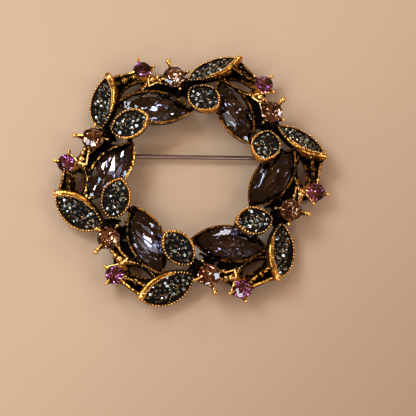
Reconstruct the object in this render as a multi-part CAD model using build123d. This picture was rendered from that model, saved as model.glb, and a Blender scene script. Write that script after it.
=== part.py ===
from build123d import *
import math
import os

# A wreath brooch of six like units: navette stones, small round stones and pave leaves
# in one cast metal frame, with a hinged pin across the back.
# Millimetres and degrees. Z is up, the brooch lies on its back, and the floor is Z = 0.
# A unit has its own frame: Y points outwards along the unit's axis and X runs clockwise.

# The ring of units
unit_count = 6
first_unit_angle = 96.0

# Clearances between pieces
seat_clearance = 0.06
chip_gap = 0.12
running_clearance = 0.05

# Navette stones in rubbed-over collets
navette_length = 13.0
navette_width = 6.0
navette_crown = 1.25
navette_pavilion = 2.1
navette_ring_radius = 14.75
navette_turn = -22.0
navette_height = 4.9
navette_heading = -12.5
navette_roll = -8.0
collet_wall = 0.34
collet_rim = 0.22
collet_ledge = 1.0
collet_taper = 0.9
collet_foot = 0.25
navette_crown_angle = 34.0
navette_pavilion_angle = 38.0
girdle_thickness = 0.2

# Champagne round stones in claw baskets
champagne_diameter = 4.1
champagne_crown = 0.95
champagne_pavilion = 1.7
champagne_ring_radius = 19.3
champagne_turn = -4.0
champagne_height = 5.3
champagne_basket_depth = 2.7

# Amethyst round stones in claw baskets
amethyst_diameter = 3.5
amethyst_crown = 0.85
amethyst_pavilion = 1.45
amethyst_ring_radius = 22.95
amethyst_turn = -18.0
amethyst_height = 3.2
amethyst_basket_depth = 2.2

# Facets next to the girdle are steeper than the main ones
upper_facet_step = 12.0
lower_facet_step = 8.0

# Claws and baskets
round_crown_angle = 35.0
round_pavilion_angle = 41.0
champagne_claw_reach = 2.75
amethyst_claw_reach = 2.35
claw_radius = 0.22
claw_bead_radius = 0.27
prong_radius = 0.2
rail_radius = 0.2
claw_angles = (15.0, 103.0, 191.0, 289.0)
basket_inset = 0.15
basket_foot_radius = 1.1
stamen_reach = 3.35
stamen_bead_radius = 0.45

# Outer leaves, rolled so that the outer edge hangs
outer_leaf_length = 10.0
outer_leaf_outer_bulge = 3.4
outer_leaf_inner_bulge = 2.0
outer_leaf_ring_radius = 21.35
outer_leaf_turn = 17.3
outer_leaf_height = 4.4
outer_leaf_heading = 18.5
outer_leaf_roll = -40.0
outer_leaf_depth = 1.5

# Inner leaves, with the tip raised towards the middle of the wreath
inner_leaf_length = 7.0
inner_leaf_bulge = 2.35
inner_leaf_ring_radius = 14.6
inner_leaf_turn = 14.5
inner_leaf_height = 6.6
inner_leaf_heading = -50.0
inner_leaf_pitch = 24.0
inner_leaf_depth = 1.6
inner_leaf_corner = 0.5

# Pave beds in the leaves
leaf_wall = 0.4
leaf_waist = 1.05
bed_depth = 0.75
chip_diameter = 1.2
chip_height = 0.7

# Rolled lip along the inner edge of each outer leaf
lip_start_radius = 0.3
lip_tip_radius = 0.62
lip_end_radius = 0.64
lip_end_length = 0.6

# Open leaf between the amethyst and the leaf before it
open_leaf_length = 7.4
open_leaf_bulge = 1.25
open_leaf_strand = 0.95
open_leaf_ring_radius = 20.3
open_leaf_turn = -26.9
open_leaf_height = 3.2
open_leaf_heading = 27.0

# Webs of metal: one amid the navette, the champagne stone and the leaves' bases, one
# between the amethyst, the open leaf and the tip of the leaf before it
web_corners = (
    (-6.6, 17.1), (-4.9, 16.6), (-2.4, 15.9), (-0.3, 14.5), (1.2, 15.9), (2.4, 17.6),
    (2.0, 19.0), (0.2, 19.6), (-3.0, 19.6), (-5.6, 20.4), (-6.0, 19.0),
)
web_height = 3.0
web_thickness = 0.9
web_hole_radius = 0.6
web_hole_spots = ((-0.1, 15.4), (-3.2, 16.95))
side_web_corners = (
    (-12.3, 17.6), (-12.9, 18.6), (-12.9, 20.2), (-11.4, 20.8), (-8.6, 22.0),
    (-8.3, 20.4), (-10.2, 19.2),
)
side_web_height = 2.2

# Twigs, knobs and struts
twig_radius = 0.45
strut_radius = 0.5
knob_radius = 0.62
bar_radius = 0.28
bar_spacing = 0.36
bar_drop = 0.9
nugget_shift = 0.9
hub_radius = 0.95
hub_ring_radius = 17.6
hub_turn = 1.5
hub_height = 4.7

# Hinged pin across the back
pin_line = 4.6
pin_axis_height = 1.3
pin_wire_radius = 0.4
hinge_reach = 14.6
catch_reach = 16.2
pin_point_length = 2.4
pin_overrun = 1.3
knuckle_radius = 0.95
knuckle_width = 1.3
rivet_radius = 0.45
ear_thickness = 0.8
rivet_gap = 0.02
pin_tip_radius = 0.08
lug_length = 2.4
lug_top = 3.4


def unit_spot(ring_radius, turn, height):
    """A point of a unit by its distance from the middle and its clockwise turn."""
    angle = math.radians(90 - turn)
    return Vector(ring_radius * math.cos(angle), ring_radius * math.sin(angle), height)


def unit_place(ring_radius, turn, height, heading=0, pitch=0, roll=0):
    """Place of a piece: X along its heading, the far end up by pitch, the left up by roll."""
    spot = unit_spot(ring_radius, turn, height)
    return Location(spot) * Rot(0, 0, heading) * Rot(0, -pitch, 0) * Rot(roll, 0, 0)


def unit_frame(index):
    """Turns a unit's own frame into the brooch's frame, one unit after another clockwise."""
    return Rot(0, 0, first_unit_angle - 90 - index * 360 / unit_count)


def spot_on(place, x, y, z):
    """A point given in a piece's own frame."""
    return (place * Location((x, y, z))).position


navette_place = unit_place(
    navette_ring_radius, navette_turn, navette_height, navette_heading, 0, navette_roll
)
champagne_place = unit_place(champagne_ring_radius, champagne_turn, champagne_height)
amethyst_place = unit_place(amethyst_ring_radius, amethyst_turn, amethyst_height)
outer_leaf_place = unit_place(
    outer_leaf_ring_radius, outer_leaf_turn, outer_leaf_height,
    outer_leaf_heading, 0, outer_leaf_roll,
)
inner_leaf_place = unit_place(
    inner_leaf_ring_radius, inner_leaf_turn, inner_leaf_height,
    inner_leaf_heading, inner_leaf_pitch, 0,
)
open_leaf_place = unit_place(
    open_leaf_ring_radius, open_leaf_turn, open_leaf_height, open_leaf_heading
)
hub_spot = unit_spot(hub_ring_radius, hub_turn, hub_height)


def disc(low_radius, high_radius, height):
    """A round disc whose wall leans where its two radii differ."""
    if abs(low_radius - high_radius) < 1e-6:
        return Cylinder(low_radius, height)
    return Cone(low_radius, high_radius, height)


class LeafOutline:
    """Two arcs that meet at a base and a tip on the X axis, with a bulge to each side."""

    def __init__(self, length, left, right):
        half = length / 2
        self.left_radius = (half ** 2 + left ** 2) / (2 * left)
        self.right_radius = (half ** 2 + right ** 2) / (2 * right)
        self.left_centre = left - self.left_radius
        self.right_centre = self.right_radius - right

    def tip(self, grow=0):
        """The tip of the outline when both arcs move outwards by grow."""
        a = self.left_radius + grow
        b = self.right_radius + grow
        spread = self.right_centre - self.left_centre
        y = (a ** 2 - b ** 2 - self.left_centre ** 2 + self.right_centre ** 2) / (2 * spread)
        return math.sqrt(a ** 2 - (y - self.left_centre) ** 2), y

    def face(self, grow=0, corner=0):
        """The outline as a face, with its two ends rounded by corner."""
        x, y = self.tip(grow)
        top = self.left_centre + self.left_radius + grow
        bottom = self.right_centre - self.right_radius - grow
        left = Edge.make_three_point_arc((-x, y, 0), (0, top, 0), (x, y, 0))
        right = Edge.make_three_point_arc((x, y, 0), (0, bottom, 0), (-x, y, 0))
        face = Face(Wire([left, right]))
        if corner > 0:
            face = fillet(face.vertices(), corner).face()
        return face

    def body(self, low, high, low_grow=0, high_grow=0):
        """The outline as a solid between two heights, its walls leaning by their growth."""
        walls = []
        arcs = ((self.left_centre, self.left_radius), (self.right_centre, self.right_radius))
        for centre, radius in arcs:
            wall = disc(radius + low_grow, radius + high_grow, high - low)
            walls.append(Pos(0, centre, (low + high) / 2) * wall)
        return walls[0] & walls[1]

    def reach(self, y, grow=0):
        """Half the outline's length at one distance from its axis."""
        a = self.left_radius + grow
        b = self.right_radius + grow
        left = a ** 2 - (y - self.left_centre) ** 2
        right = b ** 2 - (y - self.right_centre) ** 2
        return math.sqrt(max(min(left, right), 0))

    def sides(self, grow=0):
        """The outline's lowest and highest Y."""
        low = self.right_centre - self.right_radius - grow
        high = self.left_centre + self.left_radius + grow
        return low, high


navette_outline = LeafOutline(navette_length, navette_width / 2, navette_width / 2)
outer_outline = LeafOutline(outer_leaf_length, outer_leaf_outer_bulge, outer_leaf_inner_bulge)
inner_outline = LeafOutline(inner_leaf_length, inner_leaf_bulge, inner_leaf_bulge)
open_outline = LeafOutline(open_leaf_length, open_leaf_bulge, open_leaf_bulge)


def leaf_touches(outline, count):
    """Points and outward directions spaced evenly along both arcs of a leaf outline."""
    x, y = outline.tip()
    touches = []
    arcs = (
        (outline.left_centre, outline.left_radius, 1),
        (outline.right_centre, outline.right_radius, -1),
    )
    for centre, radius, side in arcs:
        half_angle = math.asin(x / radius)
        inner_radius = radius * math.cos(half_angle / count)
        for index in range(count):
            angle = half_angle * (2 * (index + 0.5) / count - 1)
            nx = math.sin(angle)
            ny = side * math.cos(angle)
            touches.append((inner_radius * nx, centre + inner_radius * ny, nx, ny))
    return touches


def round_touches(diameter, count):
    """Points and outward directions spaced evenly on a circle, flats within the circle."""
    inner_radius = diameter / 2 * math.cos(math.pi / count)
    touches = []
    for index in range(count):
        angle = 2 * math.pi * (index + 0.5) / count
        nx = math.cos(angle)
        ny = math.sin(angle)
        touches.append((inner_radius * nx, inner_radius * ny, nx, ny))
    return touches


def slice_off(stone, touch, height, angle, up):
    """Grinds one facet that passes over a girdle touch at a height and an angle."""
    x, y, nx, ny = touch
    slope = math.tan(math.radians(angle))
    facet = Plane(origin=(x, y, up * height), z_dir=(nx * slope, ny * slope, up))
    return split(stone, bisect_by=facet, keep=Keep.BOTTOM)


def cut_stone(girdle, mains, size, crown, pavilion, crown_angle, pavilion_angle):
    """A faceted stone: girdle flats, two tiers of crown facets, a table and a pavilion."""
    half_girdle = girdle_thickness / 2
    stone = Pos(0, 0, (crown - pavilion) / 2) * Box(size, size, crown + pavilion)
    for touch in girdle:
        x, y, nx, ny = touch
        flat = Plane(origin=(x, y, 0), z_dir=(nx, ny, 0))
        stone = split(stone, bisect_by=flat, keep=Keep.BOTTOM)
    for touch in girdle:
        stone = slice_off(stone, touch, half_girdle, crown_angle + upper_facet_step, 1)
        stone = slice_off(stone, touch, half_girdle, pavilion_angle + lower_facet_step, -1)
    for touch in mains:
        stone = slice_off(stone, touch, half_girdle + crown * 0.16, crown_angle, 1)
        stone = slice_off(stone, touch, half_girdle + pavilion * 0.08, pavilion_angle, -1)
    return stone.solid()


def round_envelope(diameter, crown, pavilion):
    """The room that a round stone takes, with its clearance all round."""
    radius = diameter / 2 + seat_clearance
    half_girdle = girdle_thickness / 2 + seat_clearance
    top = crown + seat_clearance
    bottom = -pavilion - seat_clearance
    steep = math.tan(math.radians(round_crown_angle + upper_facet_step))
    table_radius = max(radius - (top - half_girdle) / steep, radius * 0.3)
    cone_slope = math.tan(math.radians(round_pavilion_angle))
    culet_radius = max(radius - (-bottom - half_girdle) / cone_slope, radius * 0.12)
    with BuildSketch(Plane.XZ) as half:
        Polygon(
            (0, bottom), (culet_radius, bottom), (radius, -half_girdle),
            (radius, half_girdle), (table_radius, top), (0, top), align=None,
        )
    return revolve(half.sketch, Axis.Z)


def slab(face, low, high):
    """A flat face raised into a straight wall between two heights."""
    return extrude(Pos(0, 0, low) * face, high - low, dir=(0, 0, 1))


def rod(start, end, start_radius, end_radius=None):
    """A round rod between two points, tapered where its two radii differ."""
    start = Vector(*start)
    end = Vector(*end)
    run = end - start
    middle = Plane(origin=(start + end) * 0.5, z_dir=run)
    if end_radius is None or abs(end_radius - start_radius) < 1e-6:
        return middle * Cylinder(start_radius, run.length)
    return middle * Cone(start_radius, end_radius, run.length)


def bar(start, end, radius):
    """A six-sided bar between two points, one flat upwards."""
    start = Vector(*start)
    run = Vector(*end) - start
    across = run.cross(Vector(0, 0, 1))
    section = Plane(origin=start, x_dir=across, z_dir=run)
    return section * extrude(RegularPolygon(radius, 6).face(), run.length, dir=(0, 0, 1))


def bead(centre, radius, along=(1, 0, 0)):
    """A bead at a point: a cube with its edges ground off, one axis along a direction."""
    cube = Box(radius * 2, radius * 2, radius * 2)
    ground = chamfer(cube.edges(), radius * 0.58)
    along = Vector(*along)
    side = along.cross(Vector(0, 0, 1))
    return Plane(origin=centre, x_dir=along, z_dir=along.cross(side)) * ground


def navette_stone():
    """A navette stone, girdle at Z = 0."""
    return cut_stone(
        leaf_touches(navette_outline, 6), leaf_touches(navette_outline, 4),
        navette_length * 1.2, navette_crown, navette_pavilion,
        navette_crown_angle, navette_pavilion_angle,
    )


def round_stone(diameter, crown, pavilion):
    """A round stone, girdle at Z = 0."""
    return cut_stone(
        round_touches(diameter, 16), round_touches(diameter, 8),
        diameter * 1.2, crown, pavilion, round_crown_angle, round_pavilion_angle,
    )


def collet():
    """Open-backed metal collet round a navette stone, with a ledge under the stone."""
    depth = navette_pavilion + collet_foot
    floor = -girdle_thickness / 2 - seat_clearance
    outer = seat_clearance + collet_wall
    body = navette_outline.body(-depth, collet_rim, outer - collet_taper, outer)
    body -= navette_outline.body(floor, collet_rim * 2, seat_clearance, seat_clearance)
    body -= navette_outline.body(-depth * 2, collet_rim * 2, -collet_ledge, -collet_ledge)
    return navette_place * body


def basket(place, diameter, crown, pavilion, depth, reach):
    """A pierced cup, four beaded claws, their prongs over the stone and a square rail."""
    radius = diameter / 2
    half_girdle = girdle_thickness / 2
    body = Pos(0, 0, -depth / 2) * Cone(basket_foot_radius, radius - basket_inset, depth)
    window = Box(depth * 0.5, reach * 4, depth * 0.5)
    for quarter in (0, 1):
        turn = claw_angles[0] + 45 + 90 * quarter
        body -= Pos(0, 0, -depth * 0.5) * Rot(0, 0, turn - 90) * window
    rail_height = -depth * 0.45
    rail_reach = basket_foot_radius + (reach - basket_foot_radius) * 0.55
    corners = []
    holes = []
    pieces = []
    for angle in claw_angles:
        spoke = Rot(0, 0, angle)
        foot = spot_on(spoke, basket_foot_radius * 0.8, 0, claw_radius - depth)
        tip = spot_on(spoke, reach, 0, half_girdle)
        grip = spot_on(spoke, radius * 0.84, 0, half_girdle + crown * 0.34)
        rail = spot_on(spoke, rail_reach + rail_radius, 0, 0)
        hole = spot_on(spoke, rail_reach - rail_radius * 1.8, 0, 0)
        corners.append((rail.X, rail.Y))
        holes.append((hole.X, hole.Y))
        pieces.append(bar(foot, tip, claw_radius))
        pieces.append(spoke * bead((reach, 0, half_girdle), claw_bead_radius))
        pieces.append(bar(tip, grip, prong_radius))
    rail = Polygon(*corners, align=None) - Polygon(*holes, align=None)
    pieces.append(slab(rail.face(), rail_height - rail_radius, rail_height + rail_radius))
    body = body.fuse(*pieces)
    body -= round_envelope(diameter, crown, pavilion)
    return place * body.solids().sort_by(SortBy.VOLUME)[-1]


def leaf_dish(place, outline, depth, corner=0):
    """A leaf-shaped dish with a sunk bed, its wall nearly upright down to a waist."""
    rim = outline.face(leaf_wall, corner)
    waist = Pos(0, 0, -leaf_waist) * outline.face(leaf_wall * 0.85, corner)
    foot = Pos(0, 0, -depth) * outline.face(leaf_waist - depth, corner * 0.5)
    body = loft([foot, waist, rim], ruled=True)
    body -= slab(outline.face(0, corner), -bed_depth, bed_depth)
    return place * body.solid()


def rolled_lip():
    """The round lip along an outer leaf's inner edge, thickest at its upturned tip."""
    path_radius = outer_outline.right_radius + leaf_wall / 2
    tip_x = outer_outline.tip(leaf_wall / 2)[0]
    tip_angle = math.asin(tip_x / path_radius)
    sections = []
    for share in (-0.35, 0.0, 0.35, 0.7, 1.0):
        angle = tip_angle * share
        x = path_radius * math.sin(angle)
        y = outer_outline.right_centre - path_radius * math.cos(angle)
        growth = (share + 0.35) / 1.35
        radius = lip_start_radius + (lip_tip_radius - lip_start_radius) * growth
        rise = lip_tip_radius * 0.5 * growth ** 2
        along = (math.cos(angle), math.sin(angle), 0)
        section = Plane(origin=(x, y, rise), x_dir=(0, 0, 1), z_dir=along) * Circle(radius)
        sections.append(section.face())
        end = Vector(x, y, rise)
        along = Vector(*along)
    end_start = end - along * lip_end_length * 0.25
    end_stop = end + along * lip_end_length * 0.75
    return outer_leaf_place * (loft(sections) + rod(end_start, end_stop, lip_end_radius, lip_start_radius))


def open_leaf():
    """A leaf-shaped loop of wire, open through its middle."""
    half = open_leaf_strand / 2
    loop = slab(open_outline.face(half), -half, half)
    loop -= slab(open_outline.face(-half), -open_leaf_strand, open_leaf_strand)
    return open_leaf_place * loop


def stamen():
    """A stalk with a bead at its end on the outer side of the champagne basket."""
    angle = Rot(0, 0, claw_angles[1])
    foot = spot_on(champagne_place * angle, basket_foot_radius, 0, -champagne_basket_depth * 0.6)
    end = spot_on(champagne_place * angle, stamen_reach, 0, -champagne_basket_depth * 0.1)
    return rod(foot, end, claw_radius * 1.2) + bead(end, stamen_bead_radius, end - foot)


def webs():
    """The two flat webs of metal that fill a unit, the larger one with small holes."""
    plates = []
    for corners, height in ((web_corners, web_height), (side_web_corners, side_web_height)):
        outline = Polygon(*corners, align=None).face()
        plates.append(slab(outline, height, height + web_thickness))
    for x, y in web_hole_spots:
        plates[0] -= Pos(x, y, web_height) * Cylinder(web_hole_radius, web_thickness * 4)
    return plates


def stems():
    """Struts and twigs that tie the pieces of one unit to each other and to its neighbours."""
    next_unit = Rot(0, 0, -360 / unit_count)
    last_unit = Rot(0, 0, 360 / unit_count)
    half_navette = navette_length / 2
    half_width = navette_width / 2
    half_outer = outer_leaf_length / 2
    half_inner = inner_leaf_length / 2
    champagne_foot = spot_on(champagne_place, 0, 0, strut_radius - champagne_basket_depth)
    amethyst_foot = spot_on(amethyst_place, 0, 0, strut_radius - amethyst_basket_depth)
    wall_height = -navette_pavilion * 0.6
    collet_edge = spot_on(navette_place, half_navette * 0.5, half_width * 0.85, wall_height)
    collet_side = spot_on(navette_place, half_navette * 0.1, half_width, wall_height)
    collet_back = spot_on(navette_place, -half_navette * 0.35, half_width, wall_height)
    collet_tip = spot_on(navette_place, half_navette * 0.84, half_width * 0.08, wall_height)
    collet_end = spot_on(navette_place, -half_navette * 0.9, half_width * 0.1, wall_height)
    next_end = spot_on(next_unit * navette_place, -half_navette * 0.84, 0, wall_height * 1.2)
    inner_base = spot_on(inner_leaf_place, -half_inner * 0.8, 0, -inner_leaf_depth * 0.6)
    inner_middle = spot_on(inner_leaf_place, 0, 0, -inner_leaf_depth * 0.8)
    outer_base = spot_on(outer_leaf_place, -half_outer * 0.8, 0, -outer_leaf_depth * 0.5)
    outer_middle = spot_on(outer_leaf_place, half_outer * 0.1, 0, -outer_leaf_depth * 0.8)
    last_leaf = last_unit * outer_leaf_place
    last_tip = spot_on(last_leaf, half_outer * 0.95, 0, 0)
    last_lip = spot_on(last_leaf, half_outer * 0.6, -outer_leaf_inner_bulge * 0.6, 0)
    open_base = spot_on(open_leaf_place, open_leaf_length / 2, 0, 0)
    open_tip = spot_on(open_leaf_place, -open_leaf_length / 2, 0, 0)
    side_claw = Rot(0, 0, claw_angles[2])
    inner_claw = Rot(0, 0, claw_angles[3])
    bar_start = spot_on(amethyst_place * side_claw, basket_foot_radius, 0, -bar_drop)
    bar_gap = Vector(0, 0, bar_spacing)
    twig_start = spot_on(amethyst_place * inner_claw, basket_foot_radius * 0.3, 0, -bar_drop)
    nugget = amethyst_foot + (champagne_foot - amethyst_foot) * 0.45
    nugget = nugget + Vector(0, -nugget_shift, twig_radius * 2)
    struts = (
        (hub_spot, champagne_foot), (hub_spot, collet_edge), (hub_spot, inner_base),
        (hub_spot, outer_base), (champagne_foot, collet_side), (amethyst_foot, collet_back),
        (collet_tip, inner_middle), (next_end, outer_middle), (amethyst_foot, open_base),
        (collet_end, open_tip), (open_tip, last_lip),
    )
    twigs = (
        (twig_start, last_lip, twig_radius), (amethyst_foot, nugget, twig_radius),
        (nugget, champagne_foot, twig_radius),
        (bar_start - bar_gap, last_tip - bar_gap, bar_radius),
        (bar_start + bar_gap, last_tip + bar_gap * 0.2, bar_radius),
    )
    pieces = [bead(hub_spot, hub_radius)]
    pieces.append(bead(nugget, knob_radius, champagne_foot - amethyst_foot))
    for start, end in struts:
        pieces.append(bar(start, end, strut_radius))
    for start, end, radius in twigs:
        pieces.append(rod(start, end, radius))
    run = last_lip - twig_start
    for share in (0.3, 0.62):
        pieces.append(bead(twig_start + run * share, knob_radius, run))
    return pieces


def navette_envelope():
    """The room that a navette stone takes below its girdle, with its clearance."""
    half_girdle = girdle_thickness / 2 + seat_clearance
    depth = navette_pavilion + seat_clearance
    girdle = navette_outline.body(-half_girdle, half_girdle, seat_clearance, seat_clearance)
    keel = navette_outline.body(-depth, -half_girdle, -navette_width * 0.4, seat_clearance)
    return girdle + keel


def bed_room(outline, corner=0):
    """The room over a leaf's bed, up to just above its chips."""
    return slab(outline.face(0, corner), -bed_depth, chip_height - bed_depth + 2 * seat_clearance)


def stone_rooms():
    """The rooms that the stones and chips of one unit need, so that no metal fills them."""
    champagne_room = round_envelope(champagne_diameter, champagne_crown, champagne_pavilion)
    amethyst_room = round_envelope(amethyst_diameter, amethyst_crown, amethyst_pavilion)
    return [
        navette_place * navette_envelope(),
        champagne_place * champagne_room,
        amethyst_place * amethyst_room,
        outer_leaf_place * bed_room(outer_outline),
        inner_leaf_place * bed_room(inner_outline, inner_leaf_corner),
    ]


def unit_metal():
    """All the metal of one unit, clear of its own and both neighbours' stones."""
    pieces = [
        basket(
            champagne_place, champagne_diameter, champagne_crown, champagne_pavilion,
            champagne_basket_depth, champagne_claw_reach,
        ),
        basket(
            amethyst_place, amethyst_diameter, amethyst_crown, amethyst_pavilion,
            amethyst_basket_depth, amethyst_claw_reach,
        ),
        leaf_dish(outer_leaf_place, outer_outline, outer_leaf_depth),
        leaf_dish(inner_leaf_place, inner_outline, inner_leaf_depth, inner_leaf_corner),
        rolled_lip(), open_leaf(), stamen(), *webs(),
    ]
    metal = collet().fuse(*pieces, *stems())
    rooms = []
    for turn in (-360 / unit_count, 0, 360 / unit_count):
        rooms += [Rot(0, 0, turn) * room for room in stone_rooms()]
    return metal.cut(*rooms)


def hinge_lugs():
    """Two ears under a bridge, with the rivet's hole through both."""
    inner = knuckle_width / 2 + 2 * running_clearance
    outer = inner + ear_thickness
    slot_top = knuckle_radius + 2 * running_clearance
    block = slab(Rectangle(lug_length, outer * 2).face(), 0, lug_top)
    slot = slab(Rectangle(lug_length * 2, inner * 2).face(), -lug_top, pin_axis_height + slot_top)
    bore = Pos(0, 0, pin_axis_height) * Rot(90, 0, 0) * Cylinder(rivet_radius + rivet_gap, outer * 3)
    return Pos(-hinge_reach, pin_line, 0) * (block - slot - bore)


def pin_catch():
    """A plain fork that the pin's wire lies in, open away from the wreath."""
    inner = pin_wire_radius + 2 * running_clearance
    outer = inner + ear_thickness
    block = slab(Rectangle(lug_length * 0.7, outer * 2).face(), 0, lug_top)
    slot = slab(Rectangle(lug_length, inner * 2).face(), -lug_top, pin_axis_height + inner)
    return Pos(catch_reach, pin_line, 0) * (block - slot)


def pin_stem():
    """The pin: a knuckle round the rivet, a straight wire and its point."""
    knuckle = Rot(90, 0, 0) * Cylinder(knuckle_radius, knuckle_width)
    wire_end = hinge_reach + catch_reach + pin_overrun
    stem = knuckle + rod((0, 0, 0), (wire_end, 0, 0), pin_wire_radius)
    stem += rod((wire_end, 0, 0), (wire_end + pin_point_length, 0, 0), pin_wire_radius, pin_tip_radius)
    bore = Rot(90, 0, 0) * Cylinder(rivet_radius + running_clearance, knuckle_width * 2)
    return Pos(-hinge_reach, pin_line, pin_axis_height) * (stem - bore)


def hinge_rivet():
    """The rivet through the ears and the knuckle, flush with the ears."""
    length = knuckle_width + 4 * running_clearance + 2 * ear_thickness
    rivet = Rot(90, 0, 0) * Cylinder(rivet_radius, length)
    return Pos(-hinge_reach, pin_line, pin_axis_height) * rivet


def pave_spots(outline, margin):
    """Rows of chip centres that fill a leaf outline, given the room each chip needs."""
    low, high = outline.sides(-margin)
    pitch = chip_diameter + chip_gap
    rows = math.floor((high - low) / pitch) + 1
    spots = []
    for row in range(rows):
        y = low + (high - low) * (row + 0.5) / rows
        reach = outline.reach(y, -margin)
        count = math.floor(2 * reach / pitch) + 1
        for column in range(count):
            x = 0 if count == 1 else reach * (2 * column / (count - 1) - 1)
            spots.append((x, y))
    return spots


def chip():
    """One small stone of the pave, an octagon with a girdle and a table."""
    radius = chip_diameter / 2
    foot = RegularPolygon(radius * 0.75, 8).face()
    girdle = Pos(0, 0, chip_height * 0.4) * RegularPolygon(radius, 8).face()
    table = Pos(0, 0, chip_height) * RegularPolygon(radius * 0.6, 8).face()
    return loft([foot, girdle, table], ruled=True).solid()


def pave(place, outline):
    """All the chips of one leaf, lying side by side on its bed."""
    stone = chip()
    margin = chip_diameter / 2 + seat_clearance
    floor = seat_clearance - bed_depth
    return [place * Pos(x, y, floor) * stone for x, y in pave_spots(outline, margin)]


def wreath_frame():
    """The casting: six units, the hinge lugs and the catch in one solid."""
    unit = unit_metal()
    units = [unit_frame(index) * unit for index in range(unit_count)]
    return units[0].fuse(*units[1:], hinge_lugs(), pin_catch())


def write_step(name, shape):
    """Writes one piece under its own name."""
    shape.label = name
    export_step(shape, f"parts/{name}.step")


def write_stones(name, place, stone):
    """Writes six like stones, each in its unit."""
    for index in range(unit_count):
        write_step(f"{name}_{index + 1}", unit_frame(index) * place * stone)


def write_pave(name, place, outline):
    """Writes the pave of six like leaves, each leaf's chips in one file."""
    for index in range(unit_count):
        chips = pave(unit_frame(index) * place, outline)
        write_step(f"{name}_{index + 1}", Compound(children=chips))


os.makedirs("parts", exist_ok=True)
champagne_stone = round_stone(champagne_diameter, champagne_crown, champagne_pavilion)
amethyst_stone = round_stone(amethyst_diameter, amethyst_crown, amethyst_pavilion)
write_stones("navette_stone", navette_place, navette_stone())
write_stones("champagne_stone", champagne_place, champagne_stone)
write_stones("amethyst_stone", amethyst_place, amethyst_stone)
write_pave("outer_leaf_pave", outer_leaf_place, outer_outline)
write_pave("inner_leaf_pave", inner_leaf_place, inner_outline)
write_step("pin_stem", pin_stem())
write_step("hinge_rivet", hinge_rivet())
write_step("wreath_frame", wreath_frame())
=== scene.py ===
# %% [markdown]
# # A wreath brooch in antique gold and smoky crystal
# The solid model of the brooch comes in first as a fixed frame: one casting, its cut stones
# and the hinged pin. This lesson dresses it: it adds the fine beading and round claw tips
# that a jeweller puts on last, sets small stones into the leaves, and gives each part the
# finish of its real material. All lengths below are written in millimetres and turned to
# metres by one value, because jewellery is measured in millimetres.

# %% Load the frame
import math
import random

import bmesh
import bpy
from mathutils import Matrix, Vector


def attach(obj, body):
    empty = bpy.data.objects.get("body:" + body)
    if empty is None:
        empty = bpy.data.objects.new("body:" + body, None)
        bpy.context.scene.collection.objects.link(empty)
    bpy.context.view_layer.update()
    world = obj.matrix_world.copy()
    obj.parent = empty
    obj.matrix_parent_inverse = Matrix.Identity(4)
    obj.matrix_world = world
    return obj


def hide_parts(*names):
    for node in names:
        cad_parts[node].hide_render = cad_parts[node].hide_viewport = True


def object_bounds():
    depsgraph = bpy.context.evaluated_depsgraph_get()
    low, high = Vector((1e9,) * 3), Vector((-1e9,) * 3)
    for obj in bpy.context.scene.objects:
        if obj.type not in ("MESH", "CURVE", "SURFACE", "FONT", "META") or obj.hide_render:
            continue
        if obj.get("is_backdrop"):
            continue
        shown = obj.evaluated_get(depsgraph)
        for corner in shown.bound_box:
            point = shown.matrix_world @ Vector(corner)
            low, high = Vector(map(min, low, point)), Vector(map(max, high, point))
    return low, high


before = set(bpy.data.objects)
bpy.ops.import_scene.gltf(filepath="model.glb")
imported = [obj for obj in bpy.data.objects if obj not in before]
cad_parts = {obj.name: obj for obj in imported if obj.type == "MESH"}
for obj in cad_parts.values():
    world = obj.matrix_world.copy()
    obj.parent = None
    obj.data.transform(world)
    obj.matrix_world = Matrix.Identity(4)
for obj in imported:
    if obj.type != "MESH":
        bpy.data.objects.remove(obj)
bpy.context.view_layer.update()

MM = 0.001

# %% [markdown]
# ## The camera
# The photograph was taken from above and a little in front, with a long lens, so the wreath
# shows as a slightly flattened ring. A camera could be placed by eye, but a fit of known
# corners gives its height angle, its small roll and its distance, and the render then lies
# over the photograph. The shift slides the picture to where the brooch sits in its frame.

# %% Place the camera
CAMERA_TARGET = Vector((0, 0, 2.33)) * MM
CAMERA_DISTANCE = 299.35 * MM
CAMERA_TURN = math.radians(4.0)
CAMERA_HEIGHT = math.radians(71.43)
CAMERA_ROLL = math.radians(4.72)
CAMERA_LENS = 140.9
CAMERA_SHIFT = (0.0413, -0.0696)

side = Vector((math.cos(CAMERA_TURN), -math.sin(CAMERA_TURN), 0))
ahead = Vector((math.sin(CAMERA_TURN), math.cos(CAMERA_TURN), 0))
upward = ahead * math.sin(CAMERA_HEIGHT) + Vector((0, 0, math.cos(CAMERA_HEIGHT)))
backward = Vector((0, 0, math.sin(CAMERA_HEIGHT))) - ahead * math.cos(CAMERA_HEIGHT)
right = side * math.cos(CAMERA_ROLL) + upward * math.sin(CAMERA_ROLL)
top = upward * math.cos(CAMERA_ROLL) - side * math.sin(CAMERA_ROLL)

camera_data = bpy.data.cameras.new("camera")
camera = bpy.data.objects.new("camera", camera_data)
bpy.context.scene.collection.objects.link(camera)
bpy.context.scene.camera = camera
camera_data.sensor_width = 36
camera_data.lens = CAMERA_LENS
camera_data.shift_x, camera_data.shift_y = CAMERA_SHIFT
camera_data.clip_start = 0.01
camera_data.clip_end = 10
place = Matrix((right, top, backward)).transposed().to_4x4()
place.translation = CAMERA_TARGET + backward * CAMERA_DISTANCE
camera.matrix_world = place
print("camera at, mm:", [round(c / MM, 1) for c in place.translation])

# %% [markdown]
# ## Two helpers for materials
# Colours are picked as the hex values that a paint program shows. Blender's shaders work in
# linear light, so one function turns a hex value to linear numbers. A second one adds a
# shader node with its settings, its values and its links in one line, which keeps each
# material short enough to read as a recipe.

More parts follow.
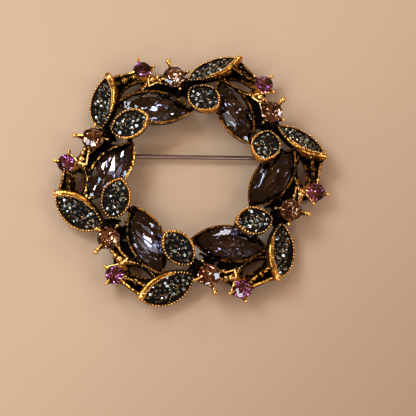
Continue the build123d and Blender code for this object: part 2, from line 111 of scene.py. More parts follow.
# %% Helpers for colours and nodes
def linear(hex_value):
    """The linear colour of an sRGB hex value."""
    channels = []
    for start in (0, 2, 4):
        value = int(hex_value[start:start + 2], 16) / 255
        value = value / 12.92 if value <= 0.04045 else ((value + 0.055) / 1.055) ** 2.4
        channels.append(value)
    return (*channels, 1.0)


def add_node(tree, kind, settings=None, values=None, links=None):
    """Adds a node: its settings, its sockets' values, and links from other nodes' outputs."""
    node = tree.nodes.new(kind)
    for name, setting in (settings or {}).items():
        setattr(node, name, setting)
    for socket, value in (values or {}).items():
        node.inputs[socket].default_value = value
    for socket, (source, output) in (links or {}).items():
        tree.links.new(source.outputs[output], node.inputs[socket])
    return node


def new_material(name):
    """An empty material and its node tree, with the output node in place."""
    material = bpy.data.materials.new(name)
    material.use_nodes = True
    tree = material.node_tree
    tree.nodes.clear()
    output = tree.nodes.new("ShaderNodeOutputMaterial")
    return material, tree, output


print("gold in linear light:", [round(c, 3) for c in linear("D9A441")])

# %% [markdown]
# ## Antique gold
# The frame is a zinc alloy casting, plated with gold and then antiqued: a black wash is
# brushed on and wiped off the high places. The eye sees bright warm gold on rims, beads and
# twigs, and near black in every corner. Painting the dark areas by hand would tie them to
# one view, so three measures find them. Ambient occlusion outside the metal finds corners,
# the same inside the metal finds thin edges that a cloth rubs bright, and the frame is made
# darker the lower it stands above the floor. A band at the distance of the groove between the
# long stones and the round ones is made darker too, and so are the collets' walls below the
# inner leaves. A noise breaks the border up, as wiping by hand does. A fine noise of 0.35 mm
# gives the casting its slightly uneven skin, and the wash stays in its pits and comes off its
# tops in specks.

# %% Antique gold
GROOVE_RADIUS = 17.6 * MM


def antique_gold(name, gold, wash, wash_low, wash_high, roughness, height_share):
    """Plated casting with a dark wash left in its corners, and darker low down."""
    material, tree, output = new_material(name)
    where = add_node(tree, "ShaderNodeTexCoord")
    corner = add_node(
        tree, "ShaderNodeAmbientOcclusion", {"samples": 8}, {"Distance": 2.4 * MM},
    )
    edge = add_node(
        tree, "ShaderNodeAmbientOcclusion", {"samples": 8, "inside": True},
        {"Distance": 0.65 * MM},
    )
    wiping = add_node(
        tree, "ShaderNodeTexNoise", None,
        {"Scale": 1 / (0.9 * MM), "Detail": 5.0, "Roughness": 0.75},
        {"Vector": (where, "Object")},
    )
    skin = add_node(
        tree, "ShaderNodeTexNoise", None,
        {"Scale": 1 / (0.35 * MM), "Detail": 2.0},
        {"Vector": (where, "Object")},
    )
    axes = add_node(tree, "ShaderNodeSeparateXYZ", None, None, {"Vector": (where, "Object")})
    height = add_node(
        tree, "ShaderNodeMapRange", None,
        {"From Min": 2.5 * MM, "From Max": 7.0 * MM, "To Min": -height_share, "To Max": 0.0},
        {"Value": (axes, "Z")},
    )
    flat = add_node(
        tree, "ShaderNodeVectorMath", {"operation": "MULTIPLY"}, {1: (1.0, 1.0, 0.0)},
        {0: (where, "Object")},
    )
    reach = add_node(
        tree, "ShaderNodeVectorMath", {"operation": "LENGTH"}, None, {0: (flat, "Vector")},
    )
    apart = add_node(
        tree, "ShaderNodeMath", {"operation": "SUBTRACT"}, {1: GROOVE_RADIUS}, {0: (reach, "Value")},
    )
    distance = add_node(
        tree, "ShaderNodeMath", {"operation": "ABSOLUTE"}, None, {0: (apart, "Value")},
    )
    groove = add_node(
        tree, "ShaderNodeMapRange", {"interpolation_type": "SMOOTHSTEP"},
        {"From Min": 1.2 * MM, "From Max": 2.6 * MM, "To Min": -0.55, "To Max": 0.0},
        {"Value": (distance, "Value")},
    )
    uneven = add_node(
        tree, "ShaderNodeMath", {"operation": "MULTIPLY_ADD"}, {1: 2.1, 2: -1.05},
        {0: (wiping, "Fac")},
    )
    rubbed = add_node(
        tree, "ShaderNodeMath", {"operation": "MULTIPLY_ADD"}, {1: -0.9},
        {0: (edge, "AO"), 2: (corner, "AO")},
    )
    inward = add_node(
        tree, "ShaderNodeMapRange", {"interpolation_type": "SMOOTHSTEP"},
        {"From Min": 15.5 * MM, "From Max": 17.0 * MM, "To Min": 0.42, "To Max": 0.0},
        {"Value": (reach, "Value")},
    )
    # Darker on the collets' walls below the inner leaves and in a band round the groove.
    collets = add_node(
        tree, "ShaderNodeMapRange", {"interpolation_type": "SMOOTHSTEP"},
        {"From Min": 5.3 * MM, "From Max": 6.0 * MM, "To Min": -1.0, "To Max": 0.0},
        {"Value": (axes, "Z")},
    )
    darker_groove_and_collets = add_node(
        tree, "ShaderNodeMath", {"operation": "MULTIPLY_ADD"}, None,
        {0: (inward, "Result"), 1: (collets, "Result"), 2: (groove, "Result")},
    )
    low = add_node(
        tree, "ShaderNodeMath", {"operation": "ADD"}, None,
        {0: (darker_groove_and_collets, "Value"), 1: (height, "Result")},
    )
    lowered = add_node(
        tree, "ShaderNodeMath", {"operation": "ADD"}, None,
        {0: (rubbed, "Value"), 1: (low, "Value")},
    )
    specks = add_node(
        tree, "ShaderNodeMapRange", None,
        {"From Min": 0.3, "From Max": 0.7, "To Min": -0.6, "To Max": 0.6},
        {"Value": (skin, "Fac")},
    )
    broken = add_node(
        tree, "ShaderNodeMath", {"operation": "ADD"}, None,
        {0: (specks, "Result"), 1: (uneven, "Value")},
    )
    score = add_node(
        tree, "ShaderNodeMath", {"operation": "ADD"}, None,
        {0: (lowered, "Value"), 1: (broken, "Value")},
    )
    wiped = add_node(
        tree, "ShaderNodeMapRange", {"interpolation_type": "SMOOTHSTEP"},
        {"From Min": wash_low, "From Max": wash_high},
        {"Value": (score, "Value")},
    )
    tint = add_node(
        tree, "ShaderNodeMix", {"data_type": "RGBA"},
        {"A": linear(wash), "B": linear(gold)},
        {"Factor": (wiped, "Result")},
    )
    dullness = add_node(
        tree, "ShaderNodeMapRange", None,
        {"To Min": 0.5, "To Max": roughness},
        {"Value": (wiped, "Result")},
    )
    relief = add_node(
        tree, "ShaderNodeBump", None,
        {"Strength": 0.35, "Distance": 0.04 * MM},
        {"Height": (skin, "Fac")},
    )
    surface = add_node(
        tree, "ShaderNodeBsdfPrincipled", None, {"Metallic": 1.0},
        {"Base Color": (tint, "Result"), "Roughness": (dullness, "Result"),
         "Normal": (relief, "Normal")},
    )
    tree.links.new(surface.outputs["BSDF"], output.inputs["Surface"])
    return material


cast_gold = antique_gold(
    "antiqued_gold_casting", gold="D8983E", wash="0B0705",
    wash_low=0.05, wash_high=0.7, roughness=0.18, height_share=0.35,
)
# The beading, claw tips, wire, nuggets and grains are the same plated metal as the casting, but their gold
# and their dark wash are both lighter: a painted highlight on the small raised parts.
highlit_bead_gold = antique_gold(
    "beading_gold_painted_highlight", gold="F0BE6A", wash="2A1608",
    wash_low=-0.2, wash_high=0.45, roughness=0.14, height_share=0.1,
)
print("metals:", cast_gold.name, highlit_bead_gold.name)

# %% [markdown]
# ## Cut crystal
# The stones are lead crystal, pressed and polished, with a mirror foil behind them. Glass
# alone would look flat, so below the girdle plane the same shader turns to metal, and light
# that enters the crown is thrown back as it is by foil. The long smoky stones have a darker
# foil than the round ones, so they stay deep and flash only where a facet meets a light. The
# solid has the main facets only. Cutters add finer ones, long and narrow on the long stones,
# so a pattern of cells leans the surface, a different way in each cell: in full below the
# girdle, and by a quarter as much on the crown.

# %% Cut crystal
FOIL_DROP = 0.12
RING_RADIUS = 15


def crystal(name, tint, foil, facet_mm, facet_lean, girdle_mm):
    """Tinted cut glass with a foiled back below its girdle."""
    material, tree, output = new_material(name)
    where = add_node(tree, "ShaderNodeTexCoord")
    axes = add_node(tree, "ShaderNodeSeparateXYZ", None, None, {"Vector": (where, "Object")})
    turn = add_node(
        tree, "ShaderNodeMath", {"operation": "ARCTAN2"}, None, {0: (axes, "Y"), 1: (axes, "X")},
    )
    flat = add_node(
        tree, "ShaderNodeVectorMath", {"operation": "MULTIPLY"}, {1: (1.0, 1.0, 0.0)},
        {0: (where, "Object")},
    )
    reach = add_node(
        tree, "ShaderNodeVectorMath", {"operation": "LENGTH"}, None, {0: (flat, "Vector")},
    )
    along = add_node(
        tree, "ShaderNodeMath", {"operation": "MULTIPLY"}, {1: RING_RADIUS / facet_mm[0]},
        {0: (turn, "Value")},
    )
    across = add_node(
        tree, "ShaderNodeMath", {"operation": "MULTIPLY"}, {1: 1 / (facet_mm[1] * MM)},
        {0: (reach, "Value")},
    )
    up = add_node(
        tree, "ShaderNodeMath", {"operation": "MULTIPLY"}, {1: 1 / (facet_mm[1] * MM)},
        {0: (axes, "Z")},
    )
    grid = add_node(
        tree, "ShaderNodeCombineXYZ", None, None,
        {"X": (along, "Value"), "Y": (across, "Value"), "Z": (up, "Value")},
    )
    facets = add_node(
        tree, "ShaderNodeTexVoronoi", None, {"Scale": 1.0}, {"Vector": (grid, "Vector")},
    )
    centred = add_node(
        tree, "ShaderNodeVectorMath", {"operation": "SUBTRACT"}, {1: (0.5, 0.5, 0.5)},
        {0: (facets, "Color")},
    )
    pavilion = add_node(
        tree, "ShaderNodeMapRange", None,
        {"From Min": (girdle_mm + FOIL_DROP) * MM, "From Max": (girdle_mm - FOIL_DROP) * MM,
         "To Min": facet_lean * 0.25, "To Max": facet_lean},
        {"Value": (axes, "Z")},
    )
    lean = add_node(
        tree, "ShaderNodeVectorMath", {"operation": "SCALE"}, None,
        {0: (centred, "Vector"), "Scale": (pavilion, "Result")},
    )
    face = add_node(tree, "ShaderNodeNewGeometry")
    leaning = add_node(
        tree, "ShaderNodeVectorMath", {"operation": "ADD"}, None,
        {0: (face, "Normal"), 1: (lean, "Vector")},
    )
    facing = add_node(
        tree, "ShaderNodeVectorMath", {"operation": "NORMALIZE"}, None, {0: (leaning, "Vector")},
    )
    below = add_node(
        tree, "ShaderNodeMath", {"operation": "LESS_THAN"}, {1: (girdle_mm - FOIL_DROP) * MM},
        {0: (axes, "Z")},
    )
    colour = add_node(
        tree, "ShaderNodeMix", {"data_type": "RGBA"}, {"A": linear(tint), "B": linear(foil)},
        {"Factor": (below, "Value")},
    )
    surface = add_node(
        tree, "ShaderNodeBsdfPrincipled", None,
        {"Roughness": 0.0, "IOR": 1.62, "Transmission Weight": 1.0},
        {"Base Color": (colour, "Result"), "Metallic": (below, "Value"),
         "Normal": (facing, "Vector")},
    )
    tree.links.new(surface.outputs["BSDF"], output.inputs["Surface"])
    return material


smoky_crystal = crystal("smoky_lead_crystal", "B6B0B4", "8A8690", (5.0, 0.7), 0.55, 4.9)
champagne_crystal = crystal("champagne_foiled_crystal", "F4E8DE", "BCA08C", (1.1, 1.1), 0.8, 5.3)
amethyst_crystal = crystal("amethyst_foiled_crystal", "F6E4F0", "C498B8", (1.1, 1.1), 0.7, 3.2)
print("crystals:", smoky_crystal.name, champagne_crystal.name, amethyst_crystal.name)

# %% [markdown]
# ## Black diamond chips
# The small stones in the leaves are foiled too, but at one millimetre nobody sees into
# them. What the eye gets is near black with a flash here and there, so each facet is a dark
# polished mirror, and a random number stored on the face sets how much it reflects: a painted
# reflection that stands in for the different things each facet mirrors.

# %% Black diamond chips
black_diamond, tree, output = new_material("black_diamond_chips")
painted_facet_reflection = add_node(tree, "ShaderNodeAttribute", {"attribute_name": "painted_reflection_shade"})
shade = add_node(
    tree, "ShaderNodeMix", {"data_type": "RGBA"},
    {"A": linear("0D0F0E"), "B": linear("D2DACE")}, {"Factor": (painted_facet_reflection, "Fac")},
)
surface = add_node(
    tree, "ShaderNodeBsdfPrincipled", None, {"Metallic": 1.0, "Roughness": 0.26},
    {"Base Color": (shade, "Result")},
)
tree.links.new(surface.outputs["BSDF"], output.inputs["Surface"])
dark_cement, tree, output = new_material("dark_cement")
where = add_node(tree, "ShaderNodeTexCoord")
crumbs = add_node(tree, "ShaderNodeTexNoise", None, {"Scale": 1 / (0.4 * MM), "Detail": 3.0},
                  {"Vector": (where, "Object")})
shade = add_node(tree, "ShaderNodeMix", {"data_type": "RGBA"},
                 {"A": linear("050404"), "B": linear("1E1812")}, {"Factor": (crumbs, "Fac")})
surface = add_node(tree, "ShaderNodeBsdfPrincipled", None, {"Roughness": 0.8, "Specular IOR Level": 0.1},
                   {"Base Color": (shade, "Result")})
tree.links.new(surface.outputs["BSDF"], output.inputs["Surface"])
print("chips and cement:", black_diamond.name, dark_cement.name)

# %% [markdown]
# ## Pin steel
# The pin is drawn steel wire, lightly browned with age. Drawing leaves very fine lines
# along the wire, so a noise is stretched along its length and roughens it a little.

# %% Pin steel
pin_steel, tree, output = new_material("drawn_pin_steel")
where = add_node(tree, "ShaderNodeTexCoord")
along = add_node(
    tree, "ShaderNodeMapping", None, {"Scale": (1 / (6 * MM), 1 / (0.15 * MM), 1 / (0.15 * MM))},
    {"Vector": (where, "Object")},
)
lines = add_node(tree, "ShaderNodeTexNoise", None, {"Scale": 1.0, "Detail": 3.0},
                 {"Vector": (along, "Vector")})
shade = add_node(
    tree, "ShaderNodeMix", {"data_type": "RGBA"},
    {"A": linear("5A4238"), "B": linear("B09A8E")}, {"Factor": (lines, "Fac")},
)
surface = add_node(
    tree, "ShaderNodeBsdfPrincipled", None, {"Metallic": 1.0, "Roughness": 0.34},
    {"Base Color": (shade, "Result")},
)
tree.links.new(surface.outputs["BSDF"], output.inputs["Surface"])
print("wire:", pin_steel.name)

# %% [markdown]
# ## Finishes for the solid parts
# The parts that came from the solid model keep their shapes and only change their
# material. Their names say what each one is, so one short table gives every one its finish.

# %% Dress the solid parts
FINISHES = {
    "wreath_frame": cast_gold,
    "hinge_rivet": cast_gold,
    "pin_stem": pin_steel,
    "navette_stone": smoky_crystal,
    "champagne_stone": champagne_crystal,
    "amethyst_stone": amethyst_crystal,
    "outer_leaf_pave": black_diamond,
    "inner_leaf_pave": black_diamond,
}
dressed = 0
for name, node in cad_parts.items():
    for start, finish in FINISHES.items():
        if name.startswith(start):
            node.data.materials.clear()
            node.data.materials.append(finish)
            dressed += 1
print("solid parts dressed:", dressed, "of", len(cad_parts))

# %% [markdown]
# ## Where the pieces of a unit are
# The wreath is six like units, each turned 60 degrees further clockwise. Every piece of a
# unit keeps its own place and lean, the same as in the solid model, so a decoration can be
# laid out once in the plain frame of its leaf and copied round. Repeating the six by hand
# would invite mistakes; a matrix per piece and one per unit does it exactly.

# %% Places of the unit's pieces
UNIT_COUNT = 6
FIRST_UNIT = 96.0


def turned(axis, degrees):
    """A rotation about X, Y or Z."""
    return Matrix.Rotation(math.radians(degrees), 4, axis)


def unit_place(ring, turn, height, heading=0.0, pitch=0.0, roll=0.0):
    """Where a piece of a unit sits, in millimetres, with its heading, pitch and roll."""
    angle = math.radians(90 - turn)
    spot = Vector((ring * math.cos(angle), ring * math.sin(angle), height))
    return Matrix.Translation(spot) @ turned("Z", heading) @ turned("Y", -pitch) @ turned("X", roll)


units = [turned("Z", FIRST_UNIT - 90 - 60 * index) for index in range(UNIT_COUNT)]
navette_place = unit_place(14.75, -22.0, 4.9, -12.5, 0, -8.0)
champagne_place = unit_place(19.3, -4.0, 5.3)
amethyst_place = unit_place(22.95, -18.0, 3.2)
outer_leaf_place = unit_place(21.35, 17.3, 4.4, 18.5, 0, -40.0)
inner_leaf_place = unit_place(14.6, 14.5, 6.6, -50.0, 24.0, 0)
open_leaf_place = unit_place(20.3, -26.9, 3.2, 27.0)
print("units:", len(units))

# %% [markdown]
# ## Points along a leaf's edge
# Each leaf's edge is two arcs that meet at its base and its tip, sometimes with a rounded
# corner. Beads look right only when they are evenly spaced, so the edge is first walked in
# very small steps and then divided by length. That works for any outline, while spacing
# beads by angle would crowd them on the tighter arc.

# %% Walk along a leaf's edge
def leaf_edge(length, left, right, grow=0.0, corner=0.0):
    """Small steps clockwise round a leaf's outline, in its own frame, in millimetres."""
    half = length / 2
    left_radius = (half ** 2 + left ** 2) / (2 * left)
    right_radius = (half ** 2 + right ** 2) / (2 * right)
    left_middle = left - left_radius
    right_middle = right_radius - right
    left_arc = left_radius + grow - corner
    right_arc = right_radius + grow - corner
    apart = left_arc ** 2 - right_arc ** 2 - left_middle ** 2 + right_middle ** 2
    y = apart / (2 * (right_middle - left_middle))
    x = math.sqrt(left_arc ** 2 - (y - left_middle) ** 2)
    left_angle = math.atan2(x, y - left_middle)
    right_angle = math.atan2(x, right_middle - y)
    left_full = left_arc + corner
    right_full = right_arc + corner
    bend = math.pi - right_angle - left_angle
    steps = 60
    edge = []
    for step in range(steps + 1):
        angle = left_angle * (2 * step / steps - 1)
        edge.append(Vector((left_full * math.sin(angle), left_middle + left_full * math.cos(angle), 0)))
    for step in range(steps + 1):
        angle = left_angle + bend * step / steps
        edge.append(Vector((x + corner * math.sin(angle), y + corner * math.cos(angle), 0)))
    for step in range(steps + 1):
        angle = right_angle * (1 - 2 * step / steps)
        edge.append(Vector((right_full * math.sin(angle), right_middle - right_full * math.cos(angle), 0)))
    for step in range(steps + 1):
        angle = math.pi + right_angle + bend * step / steps
        edge.append(Vector((-x + corner * math.sin(angle), y + corner * math.cos(angle), 0)))
    return edge


def evenly(edge, spacing, closed=True):
    """Points at an even spacing along a line of small steps."""
    line = edge + edge[:1] if closed else edge
    total = sum((b - a).length for a, b in zip(line, line[1:]))
    count = max(round(total / spacing), 2)
    gap = total / count if closed else total / (count - 1)
    points, walked, due = [], 0.0, 0.0
    for a, b in zip(line, line[1:]):
        step = (b - a).length
        while step > 0 and due <= walked + step + 1e-9 and len(points) < count:
            points.append(a.lerp(b, (due - walked) / step))
            due += gap
        walked += step
    return points


inner_leaf = {"length": 7.0, "left": 2.35, "right": 2.35, "corner": 0.5}
outer_leaf = {"length": 10.0, "left": 3.4, "right": 2.0, "corner": 0.0}
open_leaf = {"length": 7.4, "left": 1.25, "right": 1.25}
navette = {"length": 13.0, "left": 3.0, "right": 3.0}
HALF_WALL = 0.2
print("beads on an inner leaf:", len(evenly(leaf_edge(**inner_leaf, grow=HALF_WALL), 0.42)))

# %% [markdown]
# ## Beading on the rims
# A row of tiny beads, which jewellers call milgrain, runs round every leaf. On the real
# casting it is part of the mould. Here each bead is an icosphere, because a ball of few
# even triangles shades well at this size, and all the beads of a kind are joined into one
# mesh, so the whole wreath's beading is only a few pieces.

# %% Beading
def finished(name, mesh_maker, finish, body="root", smooth=True):
    """Turns a bmesh in millimetres into a piece in metres that rides on a body."""
    bmesh.ops.transform(mesh_maker, matrix=Matrix.Scale(MM, 4), verts=mesh_maker.verts)
    mesh = bpy.data.meshes.new(name)
    mesh_maker.to_mesh(mesh)
    mesh_maker.free()
    for face in mesh.polygons:
        face.use_smooth = smooth
    mesh.materials.append(finish)
    piece = bpy.data.objects.new(name, mesh)
    bpy.context.scene.collection.objects.link(piece)
    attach(piece, body)
    print(name, "faces:", len(mesh.polygons))
    return piece


def add_ball(mesh_maker, place, spot, radius, detail=2):
    """Adds one ball at a spot of a placed piece."""
    bmesh.ops.create_icosphere(
        mesh_maker, subdivisions=detail, radius=radius,
        matrix=place @ Matrix.Translation(spot),
    )


def add_rod(mesh_maker, place, start, end, radius):
    """Adds one round rod with ball ends between two spots of a placed piece."""
    run = end - start
    turn = run.to_track_quat("Z", "X").to_matrix().to_4x4()
    bmesh.ops.create_cone(
        mesh_maker, cap_ends=False, segments=12, radius1=radius, radius2=radius,
        depth=run.length, matrix=place @ Matrix.Translation((start + end) / 2) @ turn,
    )
    for spot in (start, end):
        add_ball(mesh_maker, place, spot, radius)


RIM_BEAD = 0.21
OPEN_LEAF_BEAD = 0.24
COLLET_BEAD = 0.13
LIP_BEAD = 0.17
LIP_END = (5.23, -0.05, 0.31)
LIP_START_RADIUS = 0.3
LIP_TIP_RADIUS = 0.62
LIP_STEPS = 120

chance = random.Random(7)
beading = bmesh.new()
lift = Vector((0, 0, 0.05))
for unit in units:
    for spot in evenly(leaf_edge(**inner_leaf, grow=HALF_WALL), 0.56):
        add_ball(beading, unit @ inner_leaf_place, spot + lift, RIM_BEAD)
    for spot in evenly(leaf_edge(**outer_leaf, grow=HALF_WALL), 0.58):
        add_ball(beading, unit @ outer_leaf_place, spot + lift, RIM_BEAD)
    for spot in evenly(leaf_edge(**open_leaf, grow=0.05), 0.5):
        if spot.y < 0.2:
            add_ball(beading, unit @ open_leaf_place, spot + Vector((0, 0, 0.3)), OPEN_LEAF_BEAD)
    for spot in evenly(leaf_edge(**navette, grow=0.3), 0.32):
        if spot.y < 0 and spot.x > -4.5:
            add_ball(beading, unit @ navette_place, spot + lift, COLLET_BEAD)
half_leaf = outer_leaf["length"] / 2
leaf_depth = outer_leaf["right"]
lip_radius = (half_leaf ** 2 + leaf_depth ** 2) / (2 * leaf_depth) + HALF_WALL
lip_middle = lip_radius - HALF_WALL - leaf_depth
lip_angle = math.asin(LIP_END[0] / lip_radius)
crest = []
for step in range(LIP_STEPS + 1):
    growth = step / LIP_STEPS
    share = -0.35 + 1.35 * step / LIP_STEPS
    thickness = LIP_START_RADIUS + (LIP_TIP_RADIUS - LIP_START_RADIUS) * growth
    angle = lip_angle * share
    inner = lip_radius - thickness * 0.6
    crest.append(Vector((
        inner * math.sin(angle), lip_middle - inner * math.cos(angle),
        LIP_END[2] * growth ** 2 + thickness * 0.8,
    )))
for unit in units:
    for spot in evenly(crest, 0.4, closed=False):
        add_ball(beading, unit @ outer_leaf_place, spot, LIP_BEAD)
rim_beading = finished("rim_beading", beading, highlit_bead_gold)

# %% [markdown]
# ## Round tips on the claws
# A claw ends in a little ball of gold that is pressed against the stone. The solid model
# has ground cubes there, so each gets a smooth ball over it. The same goes for the bead on
# each stamen and the swollen end of each outer leaf's lip.

# %% Claw tips, stamens and lip ends
CLAW_ANGLES = (15.0, 103.0, 191.0, 289.0)
CHAMPAGNE_REACH = 2.75
AMETHYST_REACH = 2.35
CLAW_BALL = 0.32
STAMEN_BALL = 0.52
LIP_BALL = 0.65

tips = bmesh.new()
for unit in units:
    for place, reach in ((champagne_place, CHAMPAGNE_REACH), (amethyst_place, AMETHYST_REACH)):
        for angle in CLAW_ANGLES:
            claw = unit @ place @ turned("Z", angle)
            add_ball(tips, claw, Vector((reach, 0, 0.1)), CLAW_BALL, 3)
    stalk = unit @ champagne_place @ turned("Z", CLAW_ANGLES[1])
    add_ball(tips, stalk, Vector((3.35, 0, -0.27)), STAMEN_BALL, 3)
    lip_end = unit @ outer_leaf_place @ Matrix.Translation(LIP_END) @ turned("Z", 38.0)
    stretched = lip_end @ Matrix.Diagonal((1.7, 1.0, 1.0, 1.0))
    add_ball(tips, stretched, Vector((-0.3, 0, 0)), LIP_BALL, 3)
claw_tips = finished("claw_tips", tips, highlit_bead_gold)

# %% [markdown]
# ## Bent wire and nuggets
# Beside every amethyst a thin bent wire and two rough nuggets of gold close the gap to the
# next navette. They are too small to matter to the solid, but their bright spots are easy
# to see. The wire is a chain of short rods with ball ends, which bends as sharply as it
# does on the casting, and the nuggets are balls pushed in and out a little by chance.

# %% Wire and nuggets
WIRE = (
    (-4.9, 22.6, 2.9), (-6.2, 19.7, 3.5), (-6.1, 18.3, 3.9), (-4.4, 18.8, 4.3), (-2.9, 18.2, 4.5),
)
WIRE_RADIUS = 0.22
NUGGETS = ((-5.3, 19.6, 3.6, 0.62), (-4.3, 19.8, 4.0, 0.58), (-3.5, 19.9, 4.2, 0.45))
twisting = bmesh.new()
lumps = bmesh.new()
for unit in units:
    spots = [Vector(spot) for spot in WIRE]
    for start, end in zip(spots, spots[1:]):
        add_rod(twisting, unit, start, end, WIRE_RADIUS)
    for x, y, z, radius in NUGGETS:
        add_ball(lumps, unit, Vector((x, y, z)), radius, 3)
for point in lumps.verts:
    point.co += Vector([chance.uniform(-0.03, 0.03) for axis in range(3)])
bent_wire = finished("bent_wire", twisting, highlit_bead_gold)
nuggets = finished("nuggets", lumps, highlit_bead_gold)

# %% [markdown]
# ## Small stones in the leaves
# The leaves are filled with tiny crystals the colour of black diamond, glued side by side
# with gold grains between them. The solid model holds fewer and larger ones. A stone of one
# millimetre is only a few dots wide in the picture, so each is a cut cone with eight sides
# and a flat table: that is enough for every one to catch the light at its own angle, which
# is what makes the field glitter. A little chance in their tilt does the same as the
# setter's hand.

# %% Small stones and grains
STONE_PITCH = 0.98
STONE_MARGIN = 0.5
STONE_TILT = 20


def field(edge_shape, pitch, margin):
    """Offset rows of points that fill a leaf, clear of its edge."""
    edge = leaf_edge(**edge_shape, grow=-margin)
    spots = []
    low = min(point.y for point in edge)
    high = max(point.y for point in edge)
    rows = max(round((high - low) / (pitch * 0.87)), 1)
    for row in range(rows + 1):
        y = low + (high - low) * row / rows
        if row in (0, rows):
            y += (0.02 if row == 0 else -0.02)
        crossings = []
        for a, b in zip(edge, edge[1:] + edge[:1]):
            if (a.y - y) * (b.y - y) <= 0 and abs(b.y - a.y) > 1e-9:
                crossings.append(a.x + (b.x - a.x) * (y - a.y) / (b.y - a.y))
        if len(crossings) < 2:
            continue
        start, end = min(crossings), max(crossings)
        count = max(math.floor((end - start) / pitch) + 1, 1)
        for column in range(count):
            share = 0.5 if count == 1 else column / (count - 1)
            spots.append(Vector((start + (end - start) * share, y, 0)))
    return spots


def add_stone(mesh_maker, seat, radius):
    """Adds one small stone: a short girdle, a crown of eight facets and a table."""
    for low, high, foot, head in ((0.0, 0.1, 1.0, 1.0), (0.1, 0.3, 1.0, 0.52)):
        bmesh.ops.create_cone(
            mesh_maker, cap_ends=foot != head, segments=8, radius1=radius * foot,
            radius2=radius * head, depth=high - low,
            matrix=seat @ Matrix.Translation((0, 0, (low + high) / 2)),
        )


def leaf_stones(name, place, edge_shape, nodes, dome):
    """Fills six like leaves with cut stones and grains, in place of the plain ones."""
    for index, unit in enumerate(units):
        stones = bmesh.new()
        grains = bmesh.new()
        bed = bmesh.new()
        for spot in leaf_edge(**edge_shape, grow=-0.03)[::6]:
            for height in (-0.72, -0.24):
                bmesh.ops.create_vert(bed, co=unit @ place @ (spot + Vector((0, 0, height))))
        bmesh.ops.convex_hull(bed, input=bed.verts)
        cement = finished(f"{name}_cement_{index + 1}", bed, dark_cement, smooth=False)
        spots = field(edge_shape, STONE_PITCH, STONE_MARGIN)
        painted_reflections = []
        for spot in spots:
            tilt = turned("X", chance.uniform(-STONE_TILT, STONE_TILT))
            tilt = tilt @ turned("Y", chance.uniform(-STONE_TILT, STONE_TILT))
            lift = -0.3 + dome * (1 - (spot.y / 3.0) ** 2)
            seat = unit @ place @ Matrix.Translation(spot + Vector((0, 0, lift)))
            facing = seat @ tilt @ turned("Z", chance.uniform(0, 45))
            add_stone(stones, facing, chance.uniform(0.43, 0.5))
            stones.faces.ensure_lookup_table()
            # A random shade per face, a painted reflection: it sets how much each facet mirrors.
            painted_reflections += [chance.random() ** 3 for face in range(len(stones.faces) - len(painted_reflections))]
            if chance.random() < 0.7:
                grain = spot + Vector((0.5, chance.choice((-0.3, 0.3)), lift + 0.2))
                add_ball(grains, unit @ place, grain, chance.uniform(0.1, 0.16), 1)
        piece = finished(f"{name}_stones_{index + 1}", stones, black_diamond, smooth=False)
        own = piece.data.attributes.new("painted_reflection_shade", "FLOAT", "FACE")
        own.data.foreach_set("value", painted_reflections)
        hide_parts(f"{nodes}_{index + 1}")
        setting = finished(f"{name}_grains_{index + 1}", grains, highlit_bead_gold)


leaf_stones("outer_leaf", outer_leaf_place, outer_leaf, "outer_leaf_pave", 0.05)
leaf_stones("inner_leaf", inner_leaf_place, inner_leaf, "inner_leaf_pave", 0.05)

# %% [markdown]
# ## The floor and the light
# A pale floor with a warm tone stands for the plain surface of the photograph. A painted shade
# darkens its colour a little to the lower right, where the light falls off. Crystal and metal
# show mostly what they reflect, so the lights are soft panels in a warm orange room. A
# blue-white window from the upper left makes the soft shadow to the lower right, and a wide pale
# sky fills it. Four long streaks at the sides draw white lines on the stones, and seven small
# sparkles give the facets their points of light.

# %% Floor and lights
def panel(name, spot_mm, width_mm, length_mm, power, colour):
    """A soft rectangular light that faces the middle of the brooch."""
    data = bpy.data.lights.new(name, "AREA")
    data.shape = "RECTANGLE"
    data.size = width_mm * MM
    data.size_y = length_mm * MM
    data.energy = power
    data.color = linear(colour)[:3]
    lamp = bpy.data.objects.new(name, data)
    bpy.context.scene.collection.objects.link(lamp)
    lamp.location = Vector(spot_mm) * MM
    lamp.rotation_mode = "QUATERNION"
    lamp.rotation_quaternion = (-Vector(spot_mm)).to_track_quat("-Z", "Y")
    return lamp


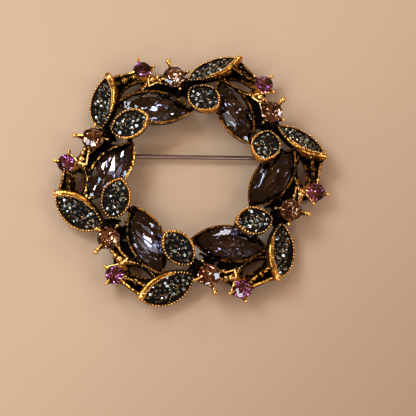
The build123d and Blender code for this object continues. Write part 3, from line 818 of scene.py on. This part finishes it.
floor_mesh = bpy.data.meshes.new("floor")
sheet = bmesh.new()
bmesh.ops.create_grid(sheet, x_segments=1, y_segments=1, size=3.0)
sheet.to_mesh(floor_mesh)
sheet.free()
floor = bpy.data.objects.new("floor", floor_mesh)
bpy.context.scene.collection.objects.link(floor)
floor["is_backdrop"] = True

floor_paint, tree, output = new_material("pale_floor")
where = add_node(tree, "ShaderNodeTexCoord")
mottle = add_node(tree, "ShaderNodeTexNoise", None, {"Scale": 1 / (60 * MM), "Detail": 2.0},
                  {"Vector": (where, "Object")})
shade = add_node(tree, "ShaderNodeMix", {"data_type": "RGBA"},
                 {"A": linear("BA9C7A"), "B": linear("C3A685")}, {"Factor": (mottle, "Fac")})
# Painted shade: the floor's colour darkens toward the lower right, standing in for the light falling off
# there.
across = add_node(
    tree, "ShaderNodeVectorMath", {"operation": "DOT_PRODUCT"}, {1: (0.7, -0.7, 0.0)},
    {0: (where, "Object")},
)
painted_falloff = add_node(
    tree, "ShaderNodeMapRange", {"interpolation_type": "SMOOTHSTEP"},
    {"From Min": -10 * MM, "From Max": 80 * MM}, {"Value": (across, "Value")},
)
shade = add_node(tree, "ShaderNodeMix", {"data_type": "RGBA"}, {"B": linear("A08266")},
                 {"Factor": (painted_falloff, "Result"), "A": (shade, "Result")})
surface = add_node(tree, "ShaderNodeBsdfPrincipled", None, {"Roughness": 0.8},
                   {"Base Color": (shade, "Result")})
tree.links.new(surface.outputs["BSDF"], output.inputs["Surface"])
floor_mesh.materials.append(floor_paint)

world = bpy.data.worlds.new("studio")
bpy.context.scene.world = world
world.use_nodes = True
world.node_tree.nodes["Background"].inputs["Color"].default_value = linear("FFB274")
world.node_tree.nodes["Background"].inputs["Strength"].default_value = 0.3
panel("window", (-185, 120, 243), 128, 128, 0.68, "C6E2FF")
panel("sky", (-260, -40, 440), 260, 260, 0.4, "E4E6F0")
panel("right_streak", (330, -60, 260), 40, 240, 0.4, "DCE8FF")
panel("front_streak", (-90, -340, 230), 240, 40, 0.35, "E6EEFF")
panel("left_streak", (-330, -90, 210), 40, 240, 0.3, "F4F4FF")
panel("back_streak", (70, 340, 200), 240, 40, 0.3, "F4F4FF")
SPARKLES = 7
for index in range(SPARKLES):
    turn = math.radians(index * 360 / SPARKLES + 20)
    high = 300 if index % 2 else 420
    spot = (260 * math.cos(turn), 260 * math.sin(turn), high)
    panel(f"sparkle_{index + 1}", spot, 34, 34, 0.11, "FFFFFF")
bpy.context.scene.view_settings.view_transform = "Standard"
print("floor, one window, a sky, four streaks and seven sparkles")

# %% Print the sizes and finish
low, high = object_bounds()
print("dressed model, mm:", [round((b - a) / MM, 2) for a, b in zip(low, high)])
